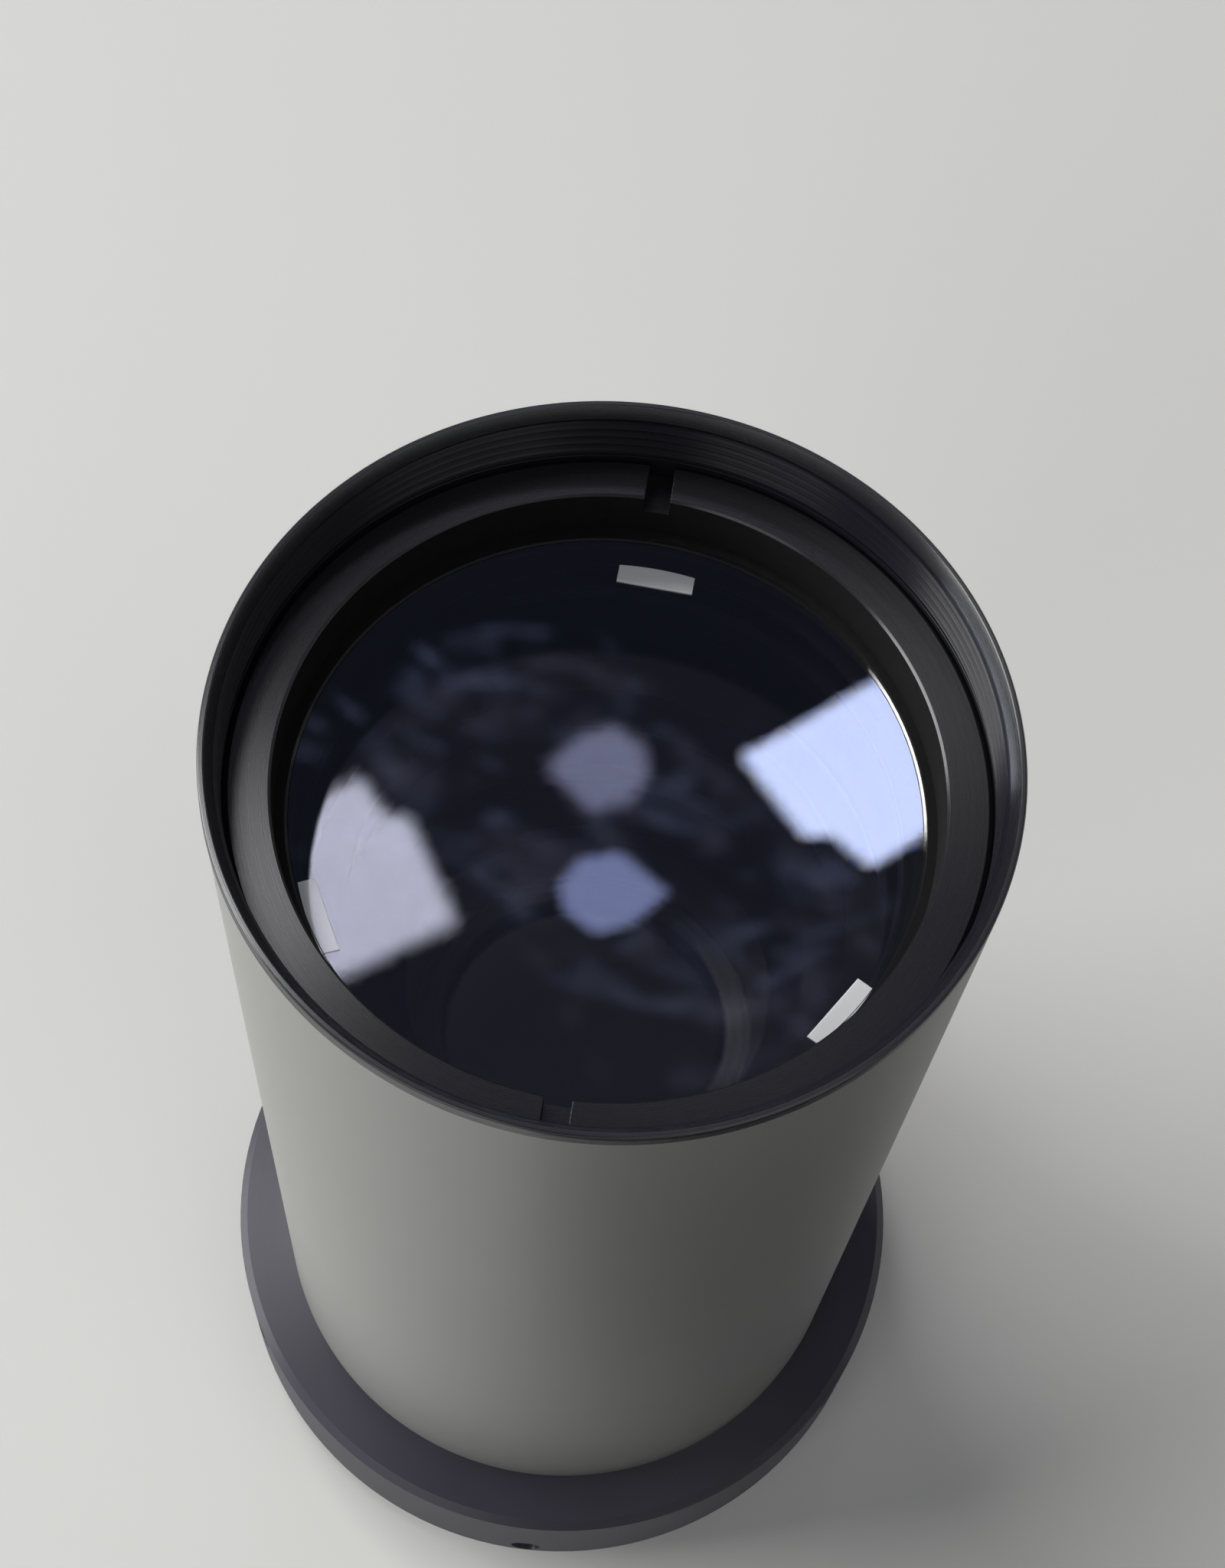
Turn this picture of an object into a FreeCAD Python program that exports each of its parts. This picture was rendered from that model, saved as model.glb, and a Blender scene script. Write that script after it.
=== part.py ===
"""Camera adapter with magnifying lenses: a painted aluminium tube with an air-spaced doublet
in its front end and a camera thread at its rear end. It stands on the camera thread.

Lengths are in millimetres. Z is the optical axis. The origin is the centre of the camera
thread's end face, and every depth below the rim is counted down from the front rim.
"""
import FreeCAD, Part
import math
import os

from FreeCAD import Vector

# Clearances
glass_clearance = 0.05      # lens edge to the bore of its cell, on radius
turned_clearance = 0.05     # one turned piece inside another, on radius
thread_clearance = 0.05     # a screwed piece inside its thread, on radius
screw_clearance = 0.05      # grub screw to its hole, on radius
end_gap = 0.3               # free end of a screwed or loose piece, along the axis

# Lens elements
lens_diameter = 52.0
lens_land_width = 1.7       # flat ground ring outside each polished surface
crown_front_curve = 87.0    # spherical radius, concave
crown_rear_curve = 780.0    # spherical radius, convex
crown_centre_thickness = 1.8
flint_rear_curve = 155.0    # spherical radius, convex
flint_centre_thickness = 6.0
bevel = 0.3                 # ground bevel on the outer corners of both elements

# Foil spacers between the two elements
foil_thickness = 0.2
foil_inset = 1.05           # from the lens edge to the tab's outer end
foil_length = 2.3           # towards the axis
foil_width = 6.3            # along the lens edge
foil_first_angle = 85.5     # degrees, counted from +X
foil_names = ("foil_spacer_far", "foil_spacer_left", "foil_spacer_right")

# Lens cell
cell_wall = 2.3
cell_lip_thickness = 2.4

# Retaining ring and the cushion under it
cushion_thickness = 0.5
ring_depth = 6.0            # rim down to the ring's top face
ring_plate_height = 3.0
ring_sleeve_length = 1.6
ring_bore_margin = 0.7      # ring bore outside the polished surface, on radius
ring_outer_chamfer = 0.4
ring_edge_chamfer = 0.15
spanner_slot_width = 2.0
spanner_slot_depth = 1.9
spanner_slot_angle = 87.3   # degrees, counted from +X

# Body tube
front_wall = 1.4            # tube wall round the lens cell
ring_thread_step = 0.15     # retaining ring's thread outside the cell bore, on radius
ring_thread_spare = 0.3     # thread left free above and below the retaining ring
front_thread_step = 0.45    # front thread outside the retaining ring's thread, on radius
cell_shoulder_width = 1.6   # seat of the lens cell, on radius
mouth_depth = 1.0           # plain conical mouth above the thread
mouth_flare = 0.35          # mouth wider than the thread, on radius
rim_round = 0.4             # rounded outer corner of the rim
tube_exposed_length = 107.5
spigot_step = 1.4           # tube's outside down to the rear thread, on radius
spigot_length = 6.0
edge_chamfer = 0.4

# Baffles
baffle_names = ("front_baffle", "middle_baffle", "rear_baffle")
baffle_pitch = 21.0
baffle_wall = 0.8
baffle_rim_length = 6.0
baffle_margin = 0.3         # baffle edge outside the light cone, on radius
baffle_edge = 0.2           # thickness left at the knife edge

# Rear flange
flange_overhang = 5.45      # flange outside the tube, on radius
flange_edge_chamfer = 0.8
flange_web = 1.5
flange_web_step = 2.5       # web inside the camera ring's pocket, on radius

# Camera ring
camera_thread_diameter = 42.0
camera_thread_length = 4.5
camera_thread_wall = 2.5    # camera thread to the clear aperture, on radius
camera_ring_shoulder = 3.0  # ring body outside the camera thread, on radius
camera_ring_height = 5.5
ring_groove_depth = 0.9

# Grub screws
screw_diameter = 3.0
screw_socket_width = 1.5    # across the flats
screw_socket_depth = 1.5
tube_screw_length = 5.5
tube_screw_angle = 90.0     # degrees, first of the screws that lock the flange
ring_screw_length = 8.0
ring_screw_angle = 30.0     # degrees, first of the screws that hold the camera ring
screw_count = 3


def sag(curve, radius):
    """Height of a spherical cap over a circle of the given radius."""
    return curve - math.sqrt(curve * curve - radius * radius)


# Radii, from the lens outwards
lens_radius = lens_diameter / 2
optic_radius = lens_radius - lens_land_width
cell_inner_radius = lens_radius + glass_clearance
cell_outer_radius = cell_inner_radius + cell_wall
cell_bore_radius = cell_outer_radius + turned_clearance
tube_radius = cell_bore_radius + front_wall
tube_bore_radius = cell_bore_radius - cell_shoulder_width
ring_thread_radius = cell_bore_radius + ring_thread_step
front_thread_radius = ring_thread_radius + front_thread_step
mouth_radius = front_thread_radius + mouth_flare
ring_radius = ring_thread_radius - thread_clearance
ring_bore_radius = optic_radius + ring_bore_margin
sleeve_radius = cell_inner_radius - turned_clearance
spigot_radius = tube_radius - spigot_step
flange_radius = tube_radius + flange_overhang
flange_bore_radius = spigot_radius + thread_clearance
camera_thread_radius = camera_thread_diameter / 2
camera_aperture_radius = camera_thread_radius - camera_thread_wall
camera_ring_radius = camera_thread_radius + camera_ring_shoulder
pocket_radius = camera_ring_radius + turned_clearance
web_radius = pocket_radius - flange_web_step
screw_radius = screw_diameter / 2
screw_hole_radius = screw_radius + screw_clearance

# Heights, from the camera thread upwards
flange_bottom = camera_thread_length
web_bottom = flange_bottom + camera_ring_height
web_top = web_bottom + flange_web
spigot_bottom = web_top + end_gap
flange_top = spigot_bottom + spigot_length
rim = flange_top + tube_exposed_length

# Heights, from the rim downwards
ring_top = rim - ring_depth
ring_underside = ring_top - ring_plate_height
cushion_top = ring_underside - ring_sleeve_length
crown_top = cushion_top - cushion_thickness
crown_front_vertex = crown_top - sag(crown_front_curve, optic_radius)
crown_rear_vertex = crown_front_vertex - crown_centre_thickness
crown_bottom = crown_rear_vertex + sag(crown_rear_curve, optic_radius)
flint_top = crown_bottom - foil_thickness
flint_front_vertex = crown_rear_vertex - foil_thickness
flint_rear_vertex = flint_front_vertex - flint_centre_thickness
flint_bottom = flint_rear_vertex + sag(flint_rear_curve, optic_radius)
cell_bottom = flint_bottom - cell_lip_thickness
cell_top = ring_underside - end_gap
ring_thread_top = ring_top + ring_thread_spare
ring_thread_bottom = ring_underside - ring_thread_spare


def turned(points):
    """Solid of revolution about Z from a closed outline of (radius, height) points."""
    corners = [Vector(radius, 0, height) for radius, height in points]
    outline = Part.makePolygon(corners + corners[:1])
    return Part.Face(outline).revolve(Vector(0, 0, 0), Vector(0, 0, 1), 360)


def line(start, end):
    """Straight edge in the XZ half plane."""
    return Part.LineSegment(Vector(start[0], 0, start[1]), Vector(end[0], 0, end[1])).toShape()


def cap_height(vertex, curve, radius):
    """Height, at a radius, of a spherical surface through its vertex; curve < 0 opens upwards."""
    return vertex - math.copysign(sag(abs(curve), radius), curve)


def cap_arc(vertex, curve, inner, outer):
    """Edge that follows a spherical surface from the inner to the outer radius."""
    middle = (inner + outer) / 2
    points = [Vector(r, 0, cap_height(vertex, curve, r)) for r in (inner, middle, outer)]
    return Part.Arc(*points).toShape()


def spin(edges, degrees=360):
    """Solid swept about Z by a closed outline of edges in the XZ half plane."""
    face = Part.Face(Part.Wire(edges))
    return face.revolve(Vector(0, 0, 0), Vector(0, 0, 1), degrees)


def element(top, front_vertex, front_curve, bottom, rear_vertex, rear_curve):
    """Lens element: two spherical surfaces, a flat land round each, a bevelled edge."""
    upper = [(optic_radius, top), (lens_radius - bevel, top), (lens_radius, top - bevel)]
    lower = [(lens_radius, bottom + bevel), (lens_radius - bevel, bottom), (optic_radius, bottom)]
    rim_points = upper + lower
    edges = [line((0, rear_vertex), (0, front_vertex))]
    edges.append(cap_arc(front_vertex, front_curve, 0, optic_radius))
    edges += [line(a, b) for a, b in zip(rim_points, rim_points[1:])]
    edges.append(cap_arc(rear_vertex, rear_curve, optic_radius, 0))
    return spin(edges)


def crown_lens():
    """Front element of the doublet, hollow in front and almost flat behind."""
    return element(crown_top, crown_front_vertex, -crown_front_curve,
                   crown_bottom, crown_rear_vertex, -crown_rear_curve)


def flint_lens():
    """Rear element; its front surface has the crown's rear radius, its rear one bulges."""
    return element(flint_top, flint_front_vertex, -crown_rear_curve,
                   flint_bottom, flint_rear_vertex, -flint_rear_curve)


def foil_shell(inner, outer):
    """Thin shell that fills the gap between the two elements from the inner to the outer radius."""
    low = cap_height(flint_front_vertex, -crown_rear_curve, inner)
    high = cap_height(crown_rear_vertex, -crown_rear_curve, inner)
    edges = [
        line((inner, low), (inner, high)),
        cap_arc(crown_rear_vertex, -crown_rear_curve, inner, optic_radius),
        line((optic_radius, crown_bottom), (outer, crown_bottom)),
        line((outer, crown_bottom), (outer, flint_top)),
        line((outer, flint_top), (optic_radius, flint_top)),
        cap_arc(flint_front_vertex, -crown_rear_curve, optic_radius, inner),
    ]
    return spin(edges)


def foil_spacer(index):
    """Straight-edged foil tab on the flint's land and front surface, under the crown."""
    outer = lens_radius - foil_inset
    inner = outer - foil_length
    shell = foil_shell(inner - foil_thickness, lens_radius - bevel)
    corner = Vector(inner, -foil_width / 2, flint_front_vertex)
    block = Part.makeBox(foil_length, foil_width, crown_top - flint_front_vertex, corner)
    tab = shell.common(block)
    turn = foil_first_angle + index * 360 / len(foil_names)
    tab.rotate(Vector(0, 0, 0), Vector(0, 0, 1), turn)
    return tab


def lens_cell():
    """Cup that holds both elements on an inward lip."""
    return turned([
        (optic_radius, cell_bottom),
        (cell_outer_radius - edge_chamfer, cell_bottom),
        (cell_outer_radius, cell_bottom + edge_chamfer),
        (cell_outer_radius, cell_top - edge_chamfer),
        (cell_outer_radius - edge_chamfer, cell_top),
        (cell_inner_radius, cell_top),
        (cell_inner_radius, flint_bottom),
        (optic_radius, flint_bottom),
    ])


def lens_cushion():
    """Thin plastic ring between the retaining ring's sleeve and the crown."""
    return turned([
        (optic_radius, crown_top),
        (sleeve_radius, crown_top),
        (sleeve_radius, cushion_top),
        (optic_radius, cushion_top),
    ])


def retaining_ring():
    """Screwed ring with a sleeve that presses on the lens, and two spanner slots."""
    ring = turned([
        (ring_bore_radius, cushion_top),
        (sleeve_radius, cushion_top),
        (sleeve_radius, ring_underside),
        (ring_radius, ring_underside),
        (ring_radius, ring_top - ring_outer_chamfer),
        (ring_radius - ring_outer_chamfer, ring_top),
        (ring_bore_radius + ring_edge_chamfer, ring_top),
        (ring_bore_radius, ring_top - ring_edge_chamfer),
    ])
    corner = Vector(-ring_radius, -spanner_slot_width / 2, ring_top - spanner_slot_depth)
    slot = Part.makeBox(2 * ring_radius, spanner_slot_width, spanner_slot_depth, corner)
    slot.rotate(Vector(0, 0, 0), Vector(0, 0, 1), spanner_slot_angle)
    return ring.cut(slot)


def main_tube():
    """Turned tube: rim, front thread, seat of the lens cell, long bore, rear thread."""
    lean = rim_round * math.sqrt(0.5)
    round_low = (tube_radius, rim - rim_round)
    round_mid = (tube_radius - rim_round + lean, rim - rim_round + lean)
    round_high = (tube_radius - rim_round, rim)
    rounded = Part.Arc(*[Vector(r, 0, z) for r, z in (round_low, round_mid, round_high)])
    inside = [
        round_high,
        (mouth_radius, rim),
        (front_thread_radius, rim - mouth_depth),
        (front_thread_radius, ring_thread_top),
        (ring_thread_radius, ring_thread_top),
        (ring_thread_radius, ring_thread_bottom),
        (cell_bore_radius, ring_thread_bottom),
        (cell_bore_radius, cell_bottom),
        (tube_bore_radius, cell_bottom),
        (tube_bore_radius, spigot_bottom),
        (spigot_radius - edge_chamfer, spigot_bottom),
        (spigot_radius, spigot_bottom + edge_chamfer),
        (spigot_radius, flange_top),
        (tube_radius, flange_top),
        round_low,
    ]
    edges = [rounded.toShape()] + [line(a, b) for a, b in zip(inside, inside[1:])]
    return spin(edges)


def cone_radius(height):
    """Radius of the light cone between the doublet and the camera aperture."""
    share = (flint_bottom - height) / flint_bottom
    return optic_radius + share * (camera_aperture_radius - optic_radius)


def baffle(index):
    """Cup pressed into the bore, with a knife-edged stop facing the lens."""
    stop = cell_bottom - (index + 1) * baffle_pitch
    edge = cone_radius(stop) + baffle_margin
    slope = baffle_wall - baffle_edge
    return turned([
        (edge, stop),
        (edge, stop - baffle_edge),
        (edge + slope, stop - baffle_wall),
        (tube_bore_radius - baffle_wall, stop - baffle_wall),
        (tube_bore_radius - baffle_wall, stop - baffle_rim_length),
        (tube_bore_radius, stop - baffle_rim_length),
        (tube_bore_radius, stop),
    ])


def radial_cylinder(radius, inner, outer, height, angle):
    """Cylinder along a spoke, from the inner to the outer radius."""
    base = Vector(inner, 0, height)
    rod = Part.makeCylinder(radius, outer - inner, base, Vector(1, 0, 0))
    rod.rotate(Vector(0, 0, 0), Vector(0, 0, 1), angle)
    return rod


def screw_angles(first):
    """Angles of one set of evenly spaced screws."""
    return [first + step * 360 / screw_count for step in range(screw_count)]


def tube_screw_height():
    """Middle of the rear thread, where the flange is locked."""
    return (spigot_bottom + flange_top) / 2


def ring_screw_height():
    """Middle of the camera ring, where its groove runs."""
    return flange_bottom + camera_ring_height / 2


def rear_flange():
    """Wide ring on the tube's rear thread, with a pocket for the camera ring."""
    body = turned([
        (pocket_radius, flange_bottom),
        (flange_radius - flange_edge_chamfer, flange_bottom),
        (flange_radius, flange_bottom + flange_edge_chamfer),
        (flange_radius, flange_top - flange_edge_chamfer),
        (flange_radius - flange_edge_chamfer, flange_top),
        (flange_bore_radius, flange_top),
        (flange_bore_radius, web_top),
        (web_radius, web_top),
        (web_radius, web_bottom),
        (pocket_radius, web_bottom),
    ])
    for angle in screw_angles(tube_screw_angle):
        hole = radial_cylinder(screw_hole_radius, tube_bore_radius, flange_radius,
                               tube_screw_height(), angle)
        body = body.cut(hole)
    for angle in screw_angles(ring_screw_angle):
        hole = radial_cylinder(screw_hole_radius, camera_thread_radius, flange_radius,
                               ring_screw_height(), angle)
        body = body.cut(hole)
    return body


def camera_ring():
    """Ring with the camera thread, grooved outside for its three screws."""
    middle = ring_screw_height()
    floor_radius = camera_ring_radius - ring_groove_depth
    return turned([
        (camera_aperture_radius, 0),
        (camera_thread_radius - edge_chamfer, 0),
        (camera_thread_radius, edge_chamfer),
        (camera_thread_radius, flange_bottom),
        (camera_ring_radius, flange_bottom),
        (camera_ring_radius, middle - ring_groove_depth),
        (floor_radius, middle),
        (camera_ring_radius, middle + ring_groove_depth),
        (camera_ring_radius, web_bottom),
        (camera_aperture_radius, web_bottom),
    ])


def grub_screw(length, tip_length):
    """Headless screw along X with its point at the origin and a hexagon socket behind."""
    tip_radius = screw_radius - tip_length
    outline = [(0, 0), (tip_radius, 0), (screw_radius, tip_length), (screw_radius, length), (0, length)]
    rod = turned(outline)
    corner_radius = screw_socket_width / math.sqrt(3)
    angles = [math.radians(60 * step) for step in range(6)]
    floor = length - screw_socket_depth
    corners = [Vector(corner_radius * math.cos(a), corner_radius * math.sin(a), floor) for a in angles]
    socket = Part.Face(Part.makePolygon(corners + corners[:1])).extrude(Vector(0, 0, screw_socket_depth))
    screw = rod.cut(socket)
    screw.rotate(Vector(0, 0, 0), Vector(0, 1, 0), 90)
    return screw


def screw_set(length, tip_length, point_radius, height, first):
    """Evenly spaced grub screws that point at the axis, as separate solids."""
    screws = []
    for angle in screw_angles(first):
        screw = grub_screw(length, tip_length)
        screw.translate(Vector(point_radius, 0, height))
        screw.rotate(Vector(0, 0, 0), Vector(0, 0, 1), angle)
        screws.append(screw)
    return Part.makeCompound(screws)


def tube_screws():
    """Three flat-pointed screws that lock the flange on the tube's rear thread."""
    return screw_set(tube_screw_length, edge_chamfer, spigot_radius,
                     tube_screw_height(), tube_screw_angle)


def ring_screws():
    """Three cone-pointed screws that hold the camera ring by its groove."""
    tip_length = ring_groove_depth
    point_radius = camera_ring_radius - ring_groove_depth + screw_radius - tip_length
    return screw_set(ring_screw_length, tip_length, point_radius,
                     ring_screw_height(), ring_screw_angle)


nodes = {
    "main_tube": main_tube(),
    "retaining_ring": retaining_ring(),
    "lens_cushion": lens_cushion(),
    "crown_lens": crown_lens(),
    "flint_lens": flint_lens(),
    "lens_cell": lens_cell(),
    "rear_flange": rear_flange(),
    "tube_screws": tube_screws(),
    "camera_ring": camera_ring(),
    "ring_screws": ring_screws(),
}
for place, name in enumerate(foil_names):
    nodes[name] = foil_spacer(place)
for place, name in enumerate(baffle_names):
    nodes[name] = baffle(place)

os.makedirs("parts", exist_ok=True)
for name, shape in nodes.items():
    shape.exportStep("parts/" + name + ".step")
    print(name, "valid", shape.isValid(), "solids", len(shape.Solids), "volume", round(shape.Volume, 2))
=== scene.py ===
import math

import bpy
from mathutils import Matrix, Vector


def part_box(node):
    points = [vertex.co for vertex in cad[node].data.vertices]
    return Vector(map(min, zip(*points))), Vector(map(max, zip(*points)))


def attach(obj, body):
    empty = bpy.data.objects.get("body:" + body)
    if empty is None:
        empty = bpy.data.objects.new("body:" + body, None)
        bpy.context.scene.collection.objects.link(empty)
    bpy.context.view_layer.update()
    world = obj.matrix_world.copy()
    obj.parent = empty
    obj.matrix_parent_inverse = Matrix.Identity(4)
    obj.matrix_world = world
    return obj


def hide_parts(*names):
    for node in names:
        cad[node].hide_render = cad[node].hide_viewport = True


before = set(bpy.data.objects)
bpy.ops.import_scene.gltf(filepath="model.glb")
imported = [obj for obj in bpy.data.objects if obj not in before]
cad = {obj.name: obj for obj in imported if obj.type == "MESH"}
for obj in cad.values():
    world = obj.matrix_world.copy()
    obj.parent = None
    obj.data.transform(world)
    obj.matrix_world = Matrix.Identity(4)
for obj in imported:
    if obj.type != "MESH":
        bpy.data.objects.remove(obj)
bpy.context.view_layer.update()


# Main tube
# One aluminium tube, turned and black anodised: rounded rim, short conical mouth, fine
# right-hand thread cut inside, seat for the lens cell, long bore and a threaded spigot.

mm = 0.001
tiny = 1e-9
clearance = 0.05 * mm
tube_low, tube_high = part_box("main_tube")
flange_low, flange_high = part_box("rear_flange")
ring_low, ring_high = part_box("retaining_ring")
cell_low, cell_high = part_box("lens_cell")
rim = tube_high.z
tube_radius = tube_high.x
rim_round = 0.4 * mm
mouth_radius = tube_radius - 0.45 * mm
mouth_round = 0.12 * mm
mouth_depth = 1.0 * mm
thread_radius = tube_radius - 1.07 * mm
thread_top = rim - mouth_depth
thread_depth = 0.54 * mm
thread_pitch = 1.0 * mm
thread_step = thread_pitch / 24
ring_thread_radius = ring_high.x + clearance
ring_thread_top = ring_high.z + 0.3 * mm
ring_thread_bottom = ring_high.z - 3.3 * mm
cell_bore_radius = cell_high.x + clearance
tube_bore_radius = cell_bore_radius - 1.6 * mm
spigot_radius = tube_radius - 1.4 * mm
paint_thickness = 0.06 * mm
paint_top = rim - 1.1 * mm
paint_step_round = 0.02 * mm


def eased(corners, ease=0.08 * mm, steps=4):
    """Closed outline of (radius, height[, ease]) corners, each broken to a small round.

    Gives (radius, height, normal radius, normal height) for each point, solid on the left."""
    longest_share = 0.45
    spots = [Vector(corner[:2]) for corner in corners]
    area = sum(a.x * b.y - b.x * a.y for a, b in zip(spots, spots[1:] + spots[:1]))
    if area < 0:
        corners = corners[::-1]
        spots = spots[::-1]
    outline = []
    for i, here in enumerate(spots):
        arrive = here - spots[i - 1]
        leave = spots[(i + 1) % len(spots)] - here
        first = Vector((arrive.y, -arrive.x)).normalized()
        last = Vector((leave.y, -leave.x)).normalized()
        turn = math.atan2(first.x * last.y - first.y * last.x, first.dot(last))
        round_size = corners[i][2] if len(corners[i]) > 2 else ease
        reach = min(round_size * math.tan(abs(turn) / 2),
                    longest_share * arrive.length, longest_share * leave.length)
        if reach < tiny:
            normal = (first + last).normalized()
            outline.append((here.x, here.y, normal.x, normal.y))
            continue
        side = math.copysign(reach / math.tan(abs(turn) / 2), turn)
        start = here - arrive.normalized() * reach
        centre = start - first * side
        for step in range(steps + 1):
            swing = turn * step / steps
            normal = Vector((first.x * math.cos(swing) - first.y * math.sin(swing),
                             first.x * math.sin(swing) + first.y * math.cos(swing)))
            spot = centre + normal * side
            outline.append((spot.x, spot.y, normal.x, normal.y))
    return outline


def new_piece(name, points, faces):
    """Smooth mesh object, linked into the scene."""
    mesh = bpy.data.meshes.new(name)
    mesh.from_pydata(points, [], faces)
    mesh.polygons.foreach_set("use_smooth", [True] * len(faces))
    piece = bpy.data.objects.new(name, mesh)
    bpy.context.scene.collection.objects.link(piece)
    return piece


def turned(name, outline, columns=360, thread=None):
    """Mesh of revolution about the optical axis; thread(angle, height) gives offset and slope.

    Only walls that stand about upright take the thread."""
    upright = 0.95
    outline = [spot for i, spot in enumerate(outline) if spot != outline[i - 1]]
    points = []
    normals = []
    rings = []
    for radius, height, out, up in outline:
        if radius < tiny:
            rings.append([len(points)] * columns)
            points.append((0, 0, height))
            normals.append((0, 0, math.copysign(1, up)))
            continue
        rings.append(list(range(len(points), len(points) + columns)))
        for column in range(columns):
            angle = 2 * math.pi * column / columns
            offset, slope = 0, 0
            if thread and abs(out) > upright:
                offset, slope = thread(angle, height)
            lean = Vector((out, up - out * slope)).normalized()
            reach = radius + offset
            points.append((reach * math.cos(angle), reach * math.sin(angle), height))
            normals.append((lean.x * math.cos(angle), lean.x * math.sin(angle), lean.y))
    faces = []
    for lower, upper in zip(rings, rings[1:] + rings[:1]):
        for column in range(columns):
            after = (column + 1) % columns
            corners = (lower[column], lower[after], upper[after], upper[column])
            face = list(dict.fromkeys(corners))
            if len(face) > 2:
                faces.append(face)
    piece = new_piece(name, points, faces)
    piece.data.normals_split_custom_set_from_vertices(normals)
    return piece


def vee_thread(top, bottom, depth, pitch):
    """Right-hand thread between two heights, run out at both ends.

    Its section is the start of a triangle wave's series, which rounds crests and roots."""
    run_out = 0.3 * pitch
    wave_height = 2.22

    def cut(angle, height):
        if not bottom < height < top:
            return 0, 0
        turns = (height - top) / pitch - angle / (2 * math.pi)
        swing = 2 * math.pi * turns
        fade = min(1, (top - height) / run_out, (height - bottom) / run_out)
        wave = math.sin(swing) - math.sin(3 * swing) / 9
        slope = (math.cos(swing) - math.cos(3 * swing) / 3) * 2 * math.pi / pitch
        return fade * wave * depth / wave_height, fade * slope * depth / wave_height

    return cut


def wall(radius, top, bottom, step):
    """Points down a straight wall, close enough together to carry a thread."""
    count = round((top - bottom) / step)
    return [(radius, top - (top - bottom) * i / count, 0) for i in range(1, count)]


def set_inputs(finish, node, inputs):
    """Sets a node's inputs, or links those that are given as sockets."""
    for key, value in inputs.items():
        if isinstance(value, bpy.types.NodeSocket):
            finish.node_tree.links.new(value, node.inputs[key])
        else:
            node.inputs[key].default_value = value


def add(finish, kind, inputs=None, **settings):
    """New node in a finish, with its settings and inputs."""
    node = finish.node_tree.nodes.new("ShaderNode" + kind)
    for key, value in settings.items():
        setattr(node, key, value)
    set_inputs(finish, node, inputs or {})
    return node


def shade(finish, inputs):
    """Sets or links inputs of the finish's own shader."""
    set_inputs(finish, finish.node_tree.nodes["Principled BSDF"], inputs)


def new_finish(name, inputs):
    """Material with these inputs on its shader."""
    finish = bpy.data.materials.new(name)
    finish.use_nodes = True
    shade(finish, inputs)
    return finish


def mottled(name, dark, light, grain, detail, inputs):
    """Finish whose colour wanders between two tones, with this many grains to a metre.

    Gives the material and its grain, which may raise the surface as well."""
    finish = new_finish(name, inputs)
    place = add(finish, "TexCoord").outputs["Object"]
    noise = add(finish, "TexNoise", {"Vector": place, "Scale": grain, "Detail": detail}).outputs["Fac"]
    tone = add(finish, "Mix", {"Factor": noise, "A": (*dark, 1), "B": (*light, 1)}, data_type="RGBA")
    shade(finish, {"Base Color": tone.outputs["Result"]})
    return finish, noise


def roughen(finish, height, strength, depth):
    """Raises the surface of a finish by a pattern."""
    bump = add(finish, "Bump", {"Height": height, "Strength": strength, "Distance": depth})
    shade(finish, {"Normal": bump.outputs["Normal"]})


def black_anodising(name, colour, roughness, mark_spacing, mark_depth, shine=0.5):
    """Black anodised aluminium with the concentric marks of the lathe."""
    mottle = 0.25
    gloss_swing = 0.06
    dark = [(1 - mottle) * c for c in colour]
    light = [(1 + mottle) * c for c in colour]
    finish = mottled(name, dark, light, grain=60.0, detail=3.0, inputs={
        "Specular IOR Level": shine, "Anisotropic": 0.8, "Anisotropic Rotation": 0.25})[0]
    axes = add(finish, "SeparateXYZ", {"Vector": add(finish, "TexCoord").outputs["Object"]}).outputs
    level = add(finish, "CombineXYZ", {"X": axes["X"], "Y": axes["Y"]}).outputs[0]
    radius = add(finish, "VectorMath", {0: level}, operation="LENGTH").outputs["Value"]
    across = add(finish, "CombineXYZ", {"X": radius, "Y": axes["Z"]}).outputs[0]
    marks = add(finish, "TexNoise", {"Vector": across, "Scale": 1 / mark_spacing, "Detail": 1.0,
                                     "Roughness": 0.6}).outputs["Fac"]
    gloss = add(finish, "MapRange", {"Value": marks, "To Min": roughness - gloss_swing,
                                     "To Max": roughness + gloss_swing})
    lathe_way = add(finish, "Tangent", direction_type="RADIAL", axis="Z")
    shade(finish, {"Roughness": gloss.outputs["Result"], "Tangent": lathe_way.outputs["Tangent"]})
    roughen(finish, marks, strength=1.0, depth=mark_depth)
    return finish


def dress_part(piece, finish, belongs):
    """Puts one more finish on the faces that belong to it, by their radius and the face itself."""
    piece.data.materials.append(finish)
    for face in piece.data.polygons:
        if belongs(math.hypot(face.center.x, face.center.y), face):
            face.material_index = len(piece.data.materials) - 1


tube_black = black_anodising("tube_black", (0.010, 0.010, 0.013), roughness=0.28,
                             mark_spacing=0.12 * mm, mark_depth=0.002 * mm, shine=0.8)
thread_black = black_anodising("thread_black", (0.009, 0.009, 0.013), roughness=0.30,
                               mark_spacing=0.12 * mm, mark_depth=0.003 * mm, shine=0.2)

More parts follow.
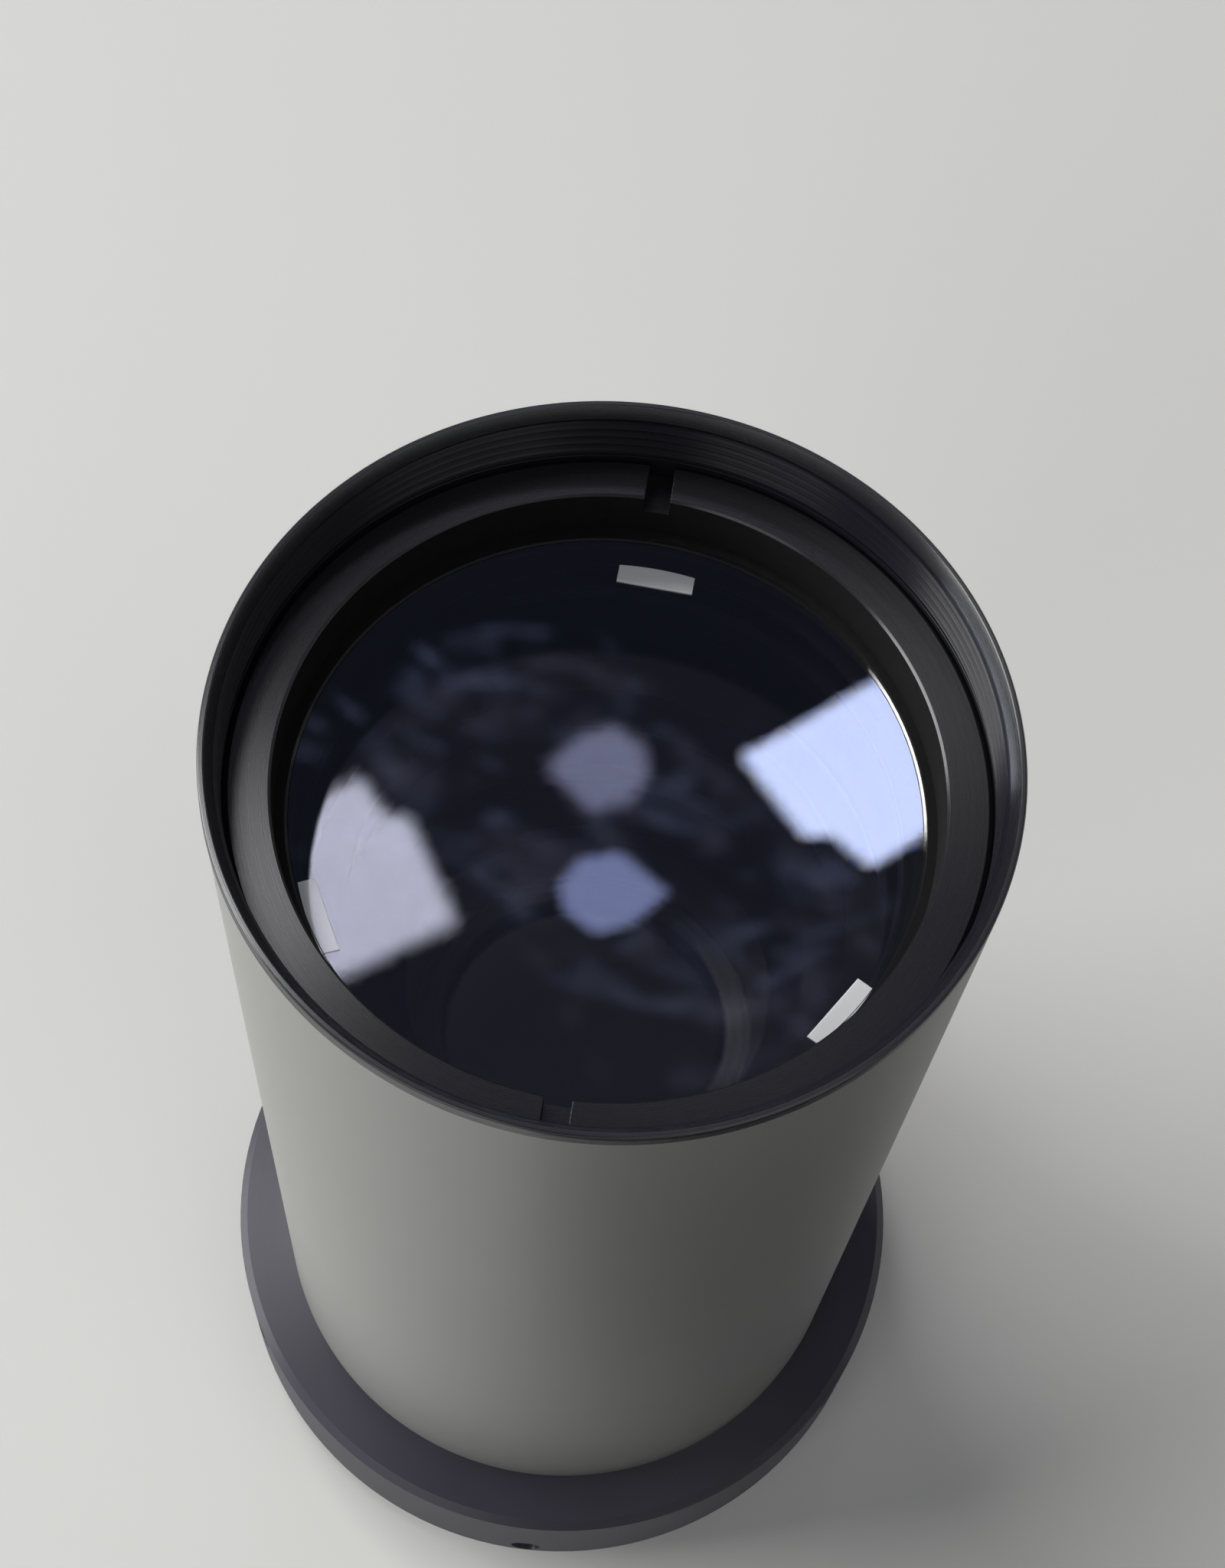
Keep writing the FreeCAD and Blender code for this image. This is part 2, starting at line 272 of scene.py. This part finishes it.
tube_outline = eased([
    (spigot_radius, tube_low.z),
    (spigot_radius, flange_high.z),
    (tube_radius - paint_thickness, flange_high.z),
    (tube_radius - paint_thickness, paint_top, 0),
    (tube_radius, paint_top, paint_step_round),
    (tube_radius, rim, rim_round),
    (mouth_radius, rim, mouth_round),
    (thread_radius, thread_top, 0),
    *wall(thread_radius, thread_top, ring_thread_top, thread_step),
    (thread_radius, ring_thread_top),
    (ring_thread_radius, ring_thread_top),
    (ring_thread_radius, ring_thread_bottom),
    (cell_bore_radius, ring_thread_bottom),
    (cell_bore_radius, cell_low.z),
    (tube_bore_radius, cell_low.z),
    (tube_bore_radius, tube_low.z),
])
main_tube = turned("tube_body", tube_outline,
                   thread=vee_thread(thread_top, ring_thread_top, thread_depth, thread_pitch))
main_tube.data.materials.append(tube_black)
dress_part(main_tube, thread_black,
           lambda radius, face: radius < thread_radius + thread_depth and face.center.z < thread_top)
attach(main_tube, "root")
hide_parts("main_tube")


# Paint
# Satin greenish-grey paint over the outside of the tube. It is sprayed on after turning, so
# it stops just under the rim in a thin step and has a faint pebbled surface.

paint_grey = (0.25, 0.255, 0.238)
paint_mottle = 0.06
pebbles_to_metre = 2200.0
pebble_depth = 0.012 * mm
paint_edge_round = 0.03 * mm
paint_top_round = 0.05 * mm
paint_foot_round = 0.01 * mm

paint = mottled("satin_grey_paint", [(1 - paint_mottle) * c for c in paint_grey],
                [(1 + paint_mottle) * c for c in paint_grey], grain=35.0, detail=4.0,
                inputs={"Roughness": 0.42, "Specular IOR Level": 0.5})[0]
pebble = add(paint, "TexNoise", {"Vector": add(paint, "TexCoord").outputs["Object"],
                                 "Scale": pebbles_to_metre, "Detail": 2.0})
roughen(paint, pebble.outputs["Fac"], strength=0.6, depth=pebble_depth)

paint_coat = turned("tube_paint", eased([
    (tube_radius - paint_thickness, flange_high.z),
    (tube_radius, flange_high.z, paint_edge_round),
    (tube_radius, paint_top, paint_top_round),
    (tube_radius - paint_thickness, paint_top),
], ease=paint_foot_round))
paint_coat.data.materials.append(paint)
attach(paint_coat, "root")
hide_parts("main_tube")


# Rear flange
# Wide turned ring on the tube's rear thread, black anodised and faded towards violet. It
# is locked by three grub screws and holds the camera ring in a pocket below.


def dress(node, finish):
    """Gives a plain solid its finish."""
    cad[node].data.materials.clear()
    cad[node].data.materials.append(finish)


violet_black = black_anodising("violet_black", (0.038, 0.036, 0.050), roughness=0.40,
                               mark_spacing=0.15 * mm, mark_depth=0.004 * mm)
dress("rear_flange", violet_black)


# Baffles
# Three thin aluminium cups pressed into the bore, each with a knife edge towards the lens,
# painted flat black so that no light glances off the tube's inside.

flat_black, grain = mottled("flat_black_paint", (0.003, 0.003, 0.003), (0.008, 0.008, 0.008),
                            grain=900.0, detail=3.0, inputs={"Roughness": 0.9, "Specular IOR Level": 0.2})
roughen(flat_black, grain, strength=0.8, depth=0.03 * mm)
for node in ("front_baffle", "middle_baffle", "rear_baffle"):
    dress(node, flat_black)


# Lens cell
# Turned cup that drops into the tube and carries both lenses on an inward lip. It is black
# anodised all over and only its lip shows, from the rear.

dress("lens_cell", thread_black)


# Camera ring
# Ring with the 42 mm camera thread, turned and black anodised. Three cone-pointed screws
# hold it by the groove round its body, so that the camera can be turned and set level.

camera_low, camera_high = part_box("camera_ring")
camera_thread_end = flange_low.z
camera_thread_radius = 21.0 * mm
camera_thread_pitch = 0.75 * mm
camera_thread_depth = 0.46 * mm
camera_thread_step = camera_thread_pitch / 20
camera_wall = camera_thread_radius - camera_thread_depth / 2
camera_bore = camera_thread_radius - 2.5 * mm
lead_in = 0.2 * mm
thread_relief = 0.2 * mm
thread_margin = 0.3 * mm
groove_depth = 0.9 * mm
groove_height = (camera_thread_end + camera_high.z) / 2
bore_side = camera_wall - 0.5 * mm
bore_end = camera_low.z + 0.1 * mm

camera_thread = vee_thread(camera_thread_end - thread_relief, camera_low.z + thread_margin,
                           camera_thread_depth, camera_thread_pitch)
camera_ring = turned("camera_thread_ring", eased([
    (camera_bore, camera_low.z),
    (camera_wall - lead_in, camera_low.z),
    (camera_wall, camera_low.z + lead_in, 0),
    *wall(camera_wall, camera_thread_end, camera_low.z + lead_in, camera_thread_step)[::-1],
    (camera_wall, camera_thread_end),
    (camera_high.x, camera_thread_end),
    (camera_high.x, groove_height - groove_depth),
    (camera_high.x - groove_depth, groove_height),
    (camera_high.x, groove_height + groove_depth),
    (camera_high.x, camera_high.z),
    (camera_bore, camera_high.z),
]), thread=camera_thread)
camera_ring.data.materials.append(tube_black)
dress_part(camera_ring, flat_black, lambda radius, face: radius < bore_side and face.center.z > bore_end)
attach(camera_ring, "root")
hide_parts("camera_ring")


# Grub screws
# Six headless steel screws with hexagon sockets, blacked: three lock the flange on the
# tube, and three longer ones hold the camera ring.

blacked_steel = mottled("blacked_steel", (0.03, 0.03, 0.032), (0.10, 0.10, 0.105),
                        grain=1500.0, detail=3.0, inputs={"Metallic": 1.0, "Roughness": 0.35})[0]
for node in ("tube_screws", "ring_screws"):
    dress(node, blacked_steel)


# Lenses
# Two glass elements with a thin air gap: hollow in front, almost flat in the gap and bulging
# behind. Both are polished, coated and ground at the edge. The rear surface is given almost
# no density, so that it mirrors nothing of the room.

crown_low, crown_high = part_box("crown_lens")
flint_low, flint_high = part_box("flint_lens")
lens_radius = crown_high.x
optic_radius = lens_radius - 1.7 * mm
lens_bevel = 0.3 * mm
lens_ease = 0.03 * mm
crown_front_curve = 87.0 * mm
gap_curve = 780.0 * mm
flint_rear_curve = 155.0 * mm
hair = 0.01 * mm
glass_inset = 0.01 * mm
bevel_width = 0.22 * mm
bevel_line = 0.06 * mm
crown_density = 1.52
flint_density = 1.62
rear_density = 1.02
violet = (0.07, 0.25, 0.85)
warm_white = (1.0, 0.98, 0.92)
pale_violet = (0.47, 0.48, 0.62)
no_tint = (0.0, 0.0, 0.0)


def sag(curve, radius=optic_radius):
    """Height of a polished surface between its vertex and a radius, or its land."""
    return curve - math.sqrt(curve * curve - radius * radius)


def cap(vertex, curve, steps=40):
    """Points from the axis out to the land along a polished surface, with exact normals.

    The curve is positive where the surface bulges upwards."""
    outline = []
    swing = math.asin(optic_radius / abs(curve))
    angles = [swing * step / steps for step in range(steps)]
    for inward in (bevel_width + bevel_line, bevel_width):
        angles.append(math.asin((optic_radius - inward) / abs(curve)))
    for angle in angles:
        outline.append((abs(curve) * math.sin(angle), vertex - curve * (1 - math.cos(angle)),
                        math.sin(angle) * math.copysign(1, curve), math.cos(angle)))
    return outline


def coated_glass(name, centre, density, tint, coat=0.0, blur=0.0):
    """Polished glass, a true sphere round a centre height; tint colours the coating's reflection.

    Coat adds a clear reflection. Blur spreads it a little, as defocus does far behind the rim."""
    grains_to_metre = 1e5
    finish = new_finish(name, {
        "Base Color": (0.97, 0.98, 1.0, 1), "Roughness": 0.0, "IOR": density, "Transmission Weight": 1.0,
        "Specular Tint": (*tint, 1), "Coat Weight": coat, "Coat Roughness": 0.0})

    def vector(operation, inputs, output="Vector"):
        return add(finish, "VectorMath", inputs, operation=operation).outputs[output]

    place = add(finish, "NewGeometry").outputs
    spoke = vector("NORMALIZE", {0: vector("SUBTRACT", {0: place["Position"], 1: (0, 0, centre)})})
    agrees = vector("DOT_PRODUCT", {0: spoke, 1: place["Normal"]}, "Value")
    side = add(finish, "Math", {0: agrees}, operation="SIGN").outputs[0]
    exact = vector("SCALE", {0: spoke, "Scale": side})
    grain = vector("SCALE", {0: place["Position"], "Scale": grains_to_metre})
    noise = add(finish, "TexWhiteNoise", {"Vector": grain}, noise_dimensions="3D").outputs["Color"]
    centred = vector("SUBTRACT", {0: noise, 1: (0.5, 0.5, 0.5)})
    spread = vector("SCALE", {0: centred, "Scale": blur})
    polished = vector("NORMALIZE", {0: vector("ADD", {0: exact, 1: spread})})
    shade(finish, {"Normal": polished, "Coat Normal": polished})
    return finish


blackened_edge = mottled("blackened_edge", (0.003, 0.003, 0.003), (0.006, 0.006, 0.006),
                         grain=1200.0, detail=3.0, inputs={"Roughness": 0.8, "Specular IOR Level": 0.1})[0]

crown_front = crown_high.z - sag(crown_front_curve)
flint_front = flint_high.z - sag(gap_curve)
violet_coating = coated_glass("crown_front_coating", crown_front + crown_front_curve, crown_density, violet,
                              coat=1.0, blur=0.012)
bare_bevel = coated_glass("crown_bare_bevel", crown_front + crown_front_curve, crown_density, warm_white,
                          coat=1.0, blur=0.02)
gap_coating = coated_glass("crown_gap_coating", crown_low.z + gap_curve, crown_density, pale_violet,
                           blur=0.010)
flint_gap_coating = coated_glass("flint_gap_coating", flint_front + gap_curve, flint_density, pale_violet,
                                 blur=0.010)
flint_rear_coating = coated_glass("flint_rear_coating", flint_low.z + flint_rear_curve, rear_density,
                                  no_tint)


def lens(name, top, front, bottom, rear, finishes):
    """One element: front surface, land, bevelled ground edge, land and rear surface.

    Front and rear are (vertex, curve); finishes are front, rear, edge and any front bevel."""
    middle = (top + bottom) / 2
    inner = 0.5 * optic_radius
    slack = 0.1 * mm
    corners = eased([(optic_radius, top), (lens_radius - lens_bevel, top), (lens_radius, top - lens_bevel),
                     (lens_radius, bottom + lens_bevel), (lens_radius - lens_bevel, bottom),
                     (optic_radius, bottom), (inner, middle)], ease=lens_ease)
    rim_band = [spot for spot in corners if spot[0] > optic_radius - slack]
    rim_band.sort(key=lambda spot: -math.atan2(spot[1] - middle, spot[0] - inner))
    behind = [(r, z, -out, -up) for r, z, out, up in cap(*rear)]
    outline = cap(*front) + rim_band + behind[::-1]
    inset = [(r - glass_inset * out, z - glass_inset * up, out, up) for r, z, out, up in outline]
    piece = turned(name, inset[::-1])
    for finish in finishes:
        piece.data.materials.append(finish)
    for face in piece.data.polygons:
        inward = optic_radius - math.hypot(face.center.x, face.center.y)
        on_bevel = len(finishes) > 3 and face.normal.z > 0
        if inward < hair or (on_bevel and bevel_width < inward < bevel_width + bevel_line):
            face.material_index = 2
        elif on_bevel and inward < bevel_width:
            face.material_index = 3
        else:
            face.material_index = 0 if face.normal.z > 0 else 1
    piece.visible_shadow = False
    piece.visible_diffuse = False
    return piece


crown = lens("crown_glass", crown_high.z, (crown_front, -crown_front_curve),
             crown_low.z + sag(gap_curve), (crown_low.z, -gap_curve),
             [violet_coating, gap_coating, blackened_edge, bare_bevel])
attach(crown, "root")
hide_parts("crown_lens")

flint = lens("flint_glass", flint_high.z, (flint_front, -gap_curve),
             flint_low.z + sag(flint_rear_curve), (flint_low.z, -flint_rear_curve),
             [flint_gap_coating, flint_rear_coating, blackened_edge])
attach(flint, "root")
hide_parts("flint_lens")


# Foil spacers
# Three small blocks cut from bright foil, set on the flint's land at 120 degrees. They keep
# the air gap even, and their inner ends, rolled over a little by the cut, show as pale blocks.

foil_turn = 85.5
foil_end = lens_radius - 1.05 * mm
foil_length = 2.3 * mm
foil_width = 6.3 * mm
foil_thickness = 0.2 * mm
foil_play = 0.02 * mm
foil_roll = 0.08 * mm

foil = mottled("bright_foil", (0.91, 0.92, 0.91), (0.98, 0.98, 0.98),
               grain=700.0, detail=3.0, inputs={"Roughness": 0.35})[0]


def foil_tab(name, turn, rows=9, lengthwise=12, roll_steps=4):
    """Straight-edged tab between the two gap surfaces, rolled down along its inner end."""
    rolls = [math.pi / 2 * step / roll_steps for step in range(roll_steps + 1)]
    lengths = [foil_roll * (1 - math.cos(roll)) for roll in rolls]
    drops = [foil_roll * (1 - math.sin(roll)) for roll in rolls]
    lengths += [foil_length * (i + 1) / lengthwise for i in range(lengthwise)]
    drops += [0] * lengthwise
    points = []
    for side in (0, 1):
        for length, drop in zip(lengths, drops):
            for row in range(rows):
                x = foil_end - foil_length + length
                y = foil_width * (row / (rows - 1) - 0.5)
                lift = sag(gap_curve, min(math.hypot(x, y), optic_radius))
                top = crown_low.z + lift - foil_play
                points.append((x, y, top - drop if side == 0 else top - foil_thickness + 2 * foil_play))
    half = len(points) // 2
    count = len(lengths)
    faces = []
    for i in range(count - 1):
        for row in range(rows - 1):
            a = i * rows + row
            faces.append((a, a + rows, a + rows + 1, a + 1))
            faces.append((half + a, half + a + 1, half + a + rows + 1, half + a + rows))
    loop = [(0, row) for row in range(rows)] + [(i, rows - 1) for i in range(1, count)]
    loop += [(count - 1, row) for row in range(rows - 2, -1, -1)] + [(i, 0) for i in range(count - 2, 0, -1)]
    for here, after in zip(loop, loop[1:] + loop[:1]):
        a, b = here[0] * rows + here[1], after[0] * rows + after[1]
        faces.append((a, b, half + b, half + a))
    tab = new_piece(name, points, faces)
    tab.data.set_sharp_from_angle(angle=math.radians(50))
    tab.data.transform(Matrix.Rotation(math.radians(turn), 4, "Z"))
    tab.data.materials.append(foil)
    return tab


for place, side in enumerate(("far", "left", "right")):
    tab = foil_tab("foil_tab_" + side, foil_turn + 120 * place)
    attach(tab, "root")
    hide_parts("foil_spacer_" + side)


# Cushion
# Thin black plastic ring between the retaining ring's sleeve and the crown, so that no
# metal presses on the glass.

black_plastic = mottled("black_plastic", (0.005, 0.005, 0.005), (0.010, 0.010, 0.010),
                        grain=1100.0, detail=2.0, inputs={"Roughness": 0.7, "Specular IOR Level": 0.15})[0]
dress("lens_cushion", black_plastic)


# Retaining ring
# Turned aluminium ring, black anodised, screwed down on the lenses with a two-pin spanner.
# Its flat face keeps fine lathe marks and its two slots have broken edges.

ring_bore = optic_radius + 0.7 * mm
ring_underside = ring_high.z - 3.0 * mm
ring_chamfer = 0.4 * mm
bore_chamfer = 0.18 * mm
bore_top_round = 0.08 * mm
bore_foot_round = 0.03 * mm
slot_width = 2.0 * mm
slot_floor = ring_high.z - 1.9 * mm
slot_turn = math.radians(87.3)


def slotted_ring(name, outline, floor_height, half_width, turn, ease=0.07 * mm, steps=176):
    """Ring with two opposite slots cut across it, their walls broken to a small round.

    The outline's points at the slot floor's height part the cut from the whole. Each column of
    points stands off the slot's middle, or at a share of the arch that leads to the next slot."""
    round_middle = 0.3
    slot_steps = 4
    on_floor = [abs(spot[1] - floor_height) < hair for spot in outline]
    first = max(range(len(outline)), key=lambda i: on_floor[i] * outline[i][0])
    outline = outline[first:] + outline[:first]
    on_floor = on_floor[first:] + on_floor[:first]
    last = on_floor.index(True, 1)
    columns = []
    for half in (0, 1):
        arch = [(0, 0, 1), (round_middle, 0, round_middle)]
        arch += [(1, i / steps, 0) for i in range(steps + 1)]
        arch += [(round_middle, 1, round_middle), (0, 1, 1)]
        columns += [(half, half_width + ease * out, share, ease * inset) for out, share, inset in arch]
        columns += [(half, half_width * (1 - i / slot_steps), None, 0) for i in range(1, 2 * slot_steps)]
    points = []
    leans = []
    for half, off, share, inset in columns:
        wall_way = Vector((math.sin(turn), -math.cos(turn), 0)) * (1 - 2 * half)
        for i, (radius, height, out, up) in enumerate(outline):
            swing = math.asin(off / radius)
            past = math.pi - swing if share is None else swing + share * (math.pi - 2 * swing)
            angle = turn + math.pi * half + past
            cut = inset if 0 < i < last else 0
            reach = radius - cut * out
            points.append((reach * math.cos(angle), reach * math.sin(angle), height - cut * up))
            lean = Vector((out * math.cos(angle), out * math.sin(angle), up))
            if 0 < i < last:
                lean = (lean * (1 - inset / ease) + wall_way * (inset / ease)).normalized()
            leans.append(lean)
    size = len(outline)
    faces = []
    normals = []
    for c, column in enumerate(columns):
        here, after = c * size, (c + 1) % len(columns) * size
        in_slot = column[2] is None or columns[(c + 1) % len(columns)][2] is None
        for i in range(last if in_slot else 0, size):
            j = (i + 1) % size
            faces.append((here + i, after + i, after + j, here + j))
            normals += [leans[k] for k in faces[-1]]
        if in_slot:
            faces.append((here, after, after + last, here + last))
            normals += [Vector((0, 0, 1))] * 4
        if column[2] is not None and column[1] == half_width:
            side = [here + i for i in range(last + 1)]
            faces.append(side if column[2] == 0 else side[::-1])
            normals += [leans[here + 1]] * len(side)
    piece = new_piece(name, points, faces)
    piece.data.normals_split_custom_set(normals)
    return piece


ring_face = black_anodising("ring_face", (0.010, 0.010, 0.012), roughness=0.28,
                            mark_spacing=0.10 * mm, mark_depth=0.006 * mm)
ring_outline = eased([
    (ring_bore, ring_low.z),
    (lens_radius, ring_low.z),
    (lens_radius, ring_underside),
    (ring_high.x, ring_underside),
    (ring_high.x, slot_floor, 0),
    (ring_high.x, ring_high.z - ring_chamfer),
    (ring_high.x - ring_chamfer, ring_high.z),
    (ring_bore + bore_chamfer, ring_high.z, bore_top_round),
    (ring_bore, ring_high.z - bore_chamfer, bore_foot_round),
    (ring_bore, slot_floor, 0),
])
ring = slotted_ring("slotted_ring", ring_outline, slot_floor, slot_width / 2, slot_turn)
ring.data.materials.append(ring_face)
dress_part(ring, flat_black,
           lambda radius, face: radius < ring_bore + hair and abs(face.normal.z) < 0.2)
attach(ring, "root")
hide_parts("retaining_ring")


# Floor and backdrop
# A plain pale table top that turns up into a low round backdrop, far outside the object. Far
# from the lamps it glows a little, only as seen straight, in metal and through glass.

floor_radius = 3.0
backdrop_height = 1.3
sweep_radius = 0.5
sweep_steps = 16
floor_columns = 96
floor_drop = 0.02 * mm
glow_start = 0.5
glow_end = 2.6
glow_level = 0.42

pale_floor = new_finish("pale_floor", {
    "Base Color": (0.70, 0.70, 0.665, 1), "Roughness": 0.7, "Emission Color": (0.98, 0.98, 0.95, 1)})
reach = add(pale_floor, "VectorMath", {0: add(pale_floor, "TexCoord").outputs["Object"]},
            operation="LENGTH").outputs["Value"]
far = add(pale_floor, "MapRange", {"Value": reach, "From Min": glow_start, "From Max": glow_end,
                                   "To Min": 0.0, "To Max": glow_level}).outputs["Result"]
ray = add(pale_floor, "LightPath").outputs
mirrored = add(pale_floor, "Math", {0: ray["Is Glossy Ray"], 1: ray["Is Transmission Ray"]},
               operation="MAXIMUM").outputs[0]
seen = add(pale_floor, "Math", {0: ray["Is Camera Ray"], 1: mirrored}, operation="MAXIMUM").outputs[0]
glow = add(pale_floor, "Math", {0: far, 1: seen}, operation="MULTIPLY").outputs[0]
shade(pale_floor, {"Emission Strength": glow})

sweep = [(0.0, 0.0), (floor_radius - sweep_radius, 0.0)]
for step in range(1, sweep_steps + 1):
    angle = math.pi / 2 * step / sweep_steps
    sweep.append((floor_radius - sweep_radius * (1 - math.sin(angle)), sweep_radius * (1 - math.cos(angle))))
sweep.append((floor_radius, backdrop_height))
points = []
for radius, height in sweep:
    for column in range(floor_columns):
        angle = 2 * math.pi * column / floor_columns
        points.append((radius * math.cos(angle), radius * math.sin(angle), height))
faces = []
for row in range(len(sweep) - 1):
    for column in range(floor_columns):
        here = row * floor_columns + column
        after = row * floor_columns + (column + 1) % floor_columns
        faces.append((here, after, after + floor_columns, here + floor_columns))
floor = new_piece("floor", points, faces)
floor.data.materials.append(pale_floor)
floor.location.z = -floor_drop


# Lamps
# The lens mirrors a bright window high on the far left, a small panel and a dim cloudy wall.
# A broad panel on the left and two weak ones in front light the object in a dim room, and a
# black card low on the right keeps the tube dark there.

aim = Vector((0, 0, rim))


def direction(azimuth, elevation):
    """Unit vector towards a point of the room."""
    az, el = math.radians(azimuth), math.radians(elevation)
    return Vector((math.cos(el) * math.cos(az), math.cos(el) * math.sin(az), math.sin(el)))


def glowing_pane(name, corners, distance, radiance, colour):
    """Flat pane whose corners lie in the given directions from the rim; radiance 1 looks white."""
    middle = sum((direction(*corner) for corner in corners), Vector()).normalized()
    points = [aim + direction(*corner) * (distance / direction(*corner).dot(middle)) for corner in corners]
    pane = new_piece(name, points, [list(range(len(points)))])
    pane.data.materials.append(new_finish(name, {
        "Base Color": (0, 0, 0, 1), "Specular IOR Level": 0.0, "Emission Color": (*colour, 1),
        "Emission Strength": radiance}))
    return pane


def softbox(name, azimuth, elevation, width, height, radiance, colour, distance=1.8):
    """Area lamp on a sphere round the rim, facing it; radiance 1 looks white."""
    lamp_data = bpy.data.lights.new(name, "AREA")
    lamp_data.shape = "RECTANGLE"
    lamp_data.size = width
    lamp_data.size_y = height
    lamp_data.energy = radiance * math.pi * width * height
    lamp_data.color = colour
    lamp = bpy.data.objects.new(name, lamp_data)
    away = direction(azimuth, elevation)
    lamp.location = aim + away * distance
    lamp.rotation_euler = away.to_track_quat("Z", "Y").to_euler()
    bpy.context.scene.collection.objects.link(lamp)


window_corners = [(115.9, 69.3), (118.1, 60.8), (121.3, 59.9), (122.6, 56.0), (131.8, 55.9),
                  (165.0, 54.0), (165.0, 65.0), (147.9, 67.6), (139.0, 68.9)]
panel_corners = [(85.1, 58.6), (87.0, 61.1), (92.4, 62.1), (98.6, 58.6), (93.7, 55.6), (90.2, 54.7),
                 (86.5, 56.2)]
wall_corners = [(36.0, 62.0), (55.0, 50.0), (100.0, 47.0), (122.0, 52.0), (118.0, 62.0), (100.0, 74.0),
                (75.0, 82.0), (45.0, 76.0)]
card_corners = [(262.0, -12.0), (345.0, -12.0), (345.0, -58.0), (262.0, -58.0)]

glowing_pane("window", window_corners, distance=2.2, radiance=13.2, colour=(1.0, 0.99, 1.0))
glowing_pane("ceiling_panel", panel_corners, distance=2.0, radiance=3.2, colour=(0.95, 0.97, 1.25))
dim_wall = glowing_pane("dim_wall", wall_corners, distance=2.3, radiance=0.0, colour=(0.90, 0.90, 1.1))
cloudy = dim_wall.data.materials[0]
wisps = add(cloudy, "TexNoise", {"Scale": 8.0, "Detail": 5.0, "Distortion": 0.6}).outputs["Fac"]
dim = add(cloudy, "MapRange", {"Value": wisps, "From Min": 0.52, "From Max": 0.85, "To Min": 0.095,
                               "To Max": 1.2}).outputs["Result"]
shade(cloudy, {"Emission Strength": dim})

softbox("left_panel", azimuth=178, elevation=20, width=1.2, height=0.6, radiance=15.0,
        colour=(0.99, 0.99, 1.0))
softbox("front_panel", azimuth=318, elevation=58, width=1.0, height=1.0, radiance=1.1,
        colour=(1.0, 1.0, 1.0))
softbox("low_panel", azimuth=240, elevation=36, width=0.8, height=0.5, radiance=2.6,
        colour=(0.97, 0.98, 1.0))

card = glowing_pane("black_card", card_corners, distance=0.11, radiance=0.0, colour=(0.0, 0.0, 0.0))
card.visible_camera = False
card.visible_shadow = False

world = bpy.data.worlds.new("dim_room")
world.use_nodes = True
background = world.node_tree.nodes["Background"]
background.inputs["Color"].default_value = (0.085, 0.085, 0.105, 1)
background.inputs["Strength"].default_value = 1.0
bpy.context.scene.world = world


# View
# The camera stands close in front and looks steeply down into the mouth of the tube, a
# little turned, through a lens about as long as the one that took the photograph.

camera_back = 85.16 * mm
camera_above_rim = 160.45 * mm
camera_turns = (26.865, -2.926, 5.657)

camera_data = bpy.data.cameras.new("view")
camera_data.sensor_width = 36.0
camera_data.lens = 58.145
camera_data.clip_start = 0.01
camera_data.clip_end = 20.0
camera = bpy.data.objects.new("view", camera_data)
camera.location = (0, -camera_back, rim + camera_above_rim)
camera.rotation_euler = [math.radians(turn) for turn in camera_turns]
bpy.context.scene.collection.objects.link(camera)
bpy.context.scene.camera = camera
bpy.context.scene.view_settings.view_transform = "Standard"
